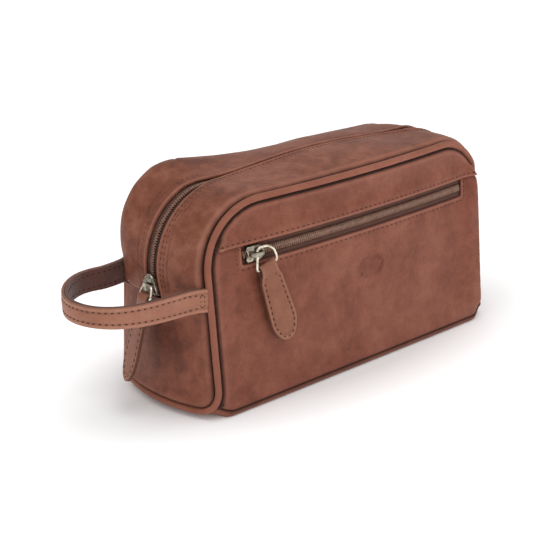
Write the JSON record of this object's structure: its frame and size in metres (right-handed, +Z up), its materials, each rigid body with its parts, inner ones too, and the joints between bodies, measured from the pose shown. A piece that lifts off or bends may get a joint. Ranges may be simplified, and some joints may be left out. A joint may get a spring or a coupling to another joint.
{
  "type": "shaving kit bag",
  "caption": "Soft leather shaving kit bag with piped edges, a zip over the top and ends, a zipped front pocket and a side loop handle.",
  "frame": {"origin": "on the surface the bag stands on, under the middle of the flat base and midway between the end seams", "axes": "+X along the bag away from the loop handle, +Y from the zipped front pocket to the back, +Z up towards the top zip"},
  "size_m": [0.2838, 0.0872, 0.1212],
  "materials": {
    "shell_leather": "matt full-grain leather, warm brown, slightly mottled",
    "piping": "thin leather wrapped over cord",
    "lining": "plain woven lining, dark brown",
    "zip_tape": "woven zip tape, dark brown",
    "zip_coil": "moulded nylon coil, grey brown",
    "antique_brass": "antiqued brass, satin"
  },
  "bodies": {
    "bag": {"front_pocket_panel": "shell_leather", "front_yoke_panel": "shell_leather", "back_panel": "shell_leather", "base_panel": "shell_leather", "gusset_front": "shell_leather", "gusset_back": "shell_leather", "end_panel_left": "shell_leather", "end_panel_right": "shell_leather", "piping_loop": "piping", "front_lining": "lining", "back_lining": "lining", "base_lining": "lining", "end_lining_left": "lining", "end_lining_right": "lining", "pocket_tape_upper": "zip_tape", "pocket_tape_lower": "zip_tape", "pocket_coil_upper": "zip_coil", "pocket_coil_lower": "zip_coil", "main_tape_front_left": "zip_tape", "main_tape_front_right": "zip_tape", "main_tape_back_left": "zip_tape", "main_tape_back_right": "zip_tape", "main_coil_front_left": "zip_coil", "main_coil_front_right": "zip_coil", "main_coil_back_left": "zip_coil", "main_coil_back_right": "zip_coil", "handle_tongue_front": "shell_leather", "handle_tongue_back": "shell_leather"},
    "mouth_front": {"flap_panel_front": "shell_leather", "flap_tape_front": "zip_tape", "flap_coil_front": "zip_coil"},
    "mouth_back": {"flap_panel_back": "shell_leather", "flap_tape_back": "zip_tape", "flap_coil_back": "zip_coil"},
    "main_slider": {"main_slider": "antique_brass"},
    "main_ring": {"main_ring": "antique_brass"},
    "main_pull": {"main_pull": "shell_leather"},
    "pocket_slider": {"pocket_slider": "antique_brass"},
    "pocket_ring": {"pocket_ring": "antique_brass"},
    "pocket_pull": {"pocket_pull": "shell_leather"},
    "handle": {"handle_outer": "shell_leather", "handle_inner": "shell_leather"}
  },
  "joints": [
    {"name": "main_zip_travel", "type": "hinge", "parent": "bag", "child": "main_slider", "pos_m": [-0.0745, 0, 0.077], "axis": [0, 1, 0], "range_deg": [0, 78]},
    {"name": "main_ring_swing", "type": "hinge", "parent": "main_slider", "child": "main_ring", "pos_m": [-0.11776, 0, 0.06898], "axis": [0, 1, 0], "range_deg": [-8, 50]},
    {"name": "main_pull_swing", "type": "hinge", "parent": "main_ring", "child": "main_pull", "pos_m": [-0.11991, 0, 0.06285], "axis": [0, 1, 0], "range_deg": [-5, 50]},
    {"name": "pocket_zip_travel", "type": "hinge", "parent": "bag", "child": "pocket_slider", "pos_m": [0, 1.10278, 0.0859], "axis": [0, 0, 1], "range_deg": [0, 7.55]},
    {"name": "pocket_ring_swing", "type": "hinge", "parent": "pocket_slider", "child": "pocket_ring", "pos_m": [-0.07626, -0.04007, 0.08608], "axis": [-0.003, -0.045, -0.999], "range_deg": [0, 90]},
    {"name": "pocket_pull_lift", "type": "hinge", "parent": "pocket_ring", "child": "pocket_pull", "pos_m": [-0.0704, -0.04082, 0.07804], "axis": [-0.96, 0.0515, -0.2754], "range_deg": [0, 80]},
    {"name": "handle_swing", "type": "hinge", "parent": "bag", "child": "handle", "pos_m": [-0.1166, 0, 0.067], "axis": [0, 1, 0], "range_deg": [-45, 60]},
    {"name": "mouth_front_open", "type": "hinge", "parent": "bag", "child": "mouth_front", "pos_m": [0, -0.0289, 0.1182], "axis": [1, 0, 0], "range_deg": [0, 55]},
    {"name": "mouth_back_open", "type": "hinge", "parent": "bag", "child": "mouth_back", "pos_m": [0, 0.0289, 0.1182], "axis": [1, 0, 0], "range_deg": [-55, 0]}
  ],
  "couplings": [
    {"joint": "mouth_back_open", "follows": "mouth_front_open", "ratio": -1}
  ]
}
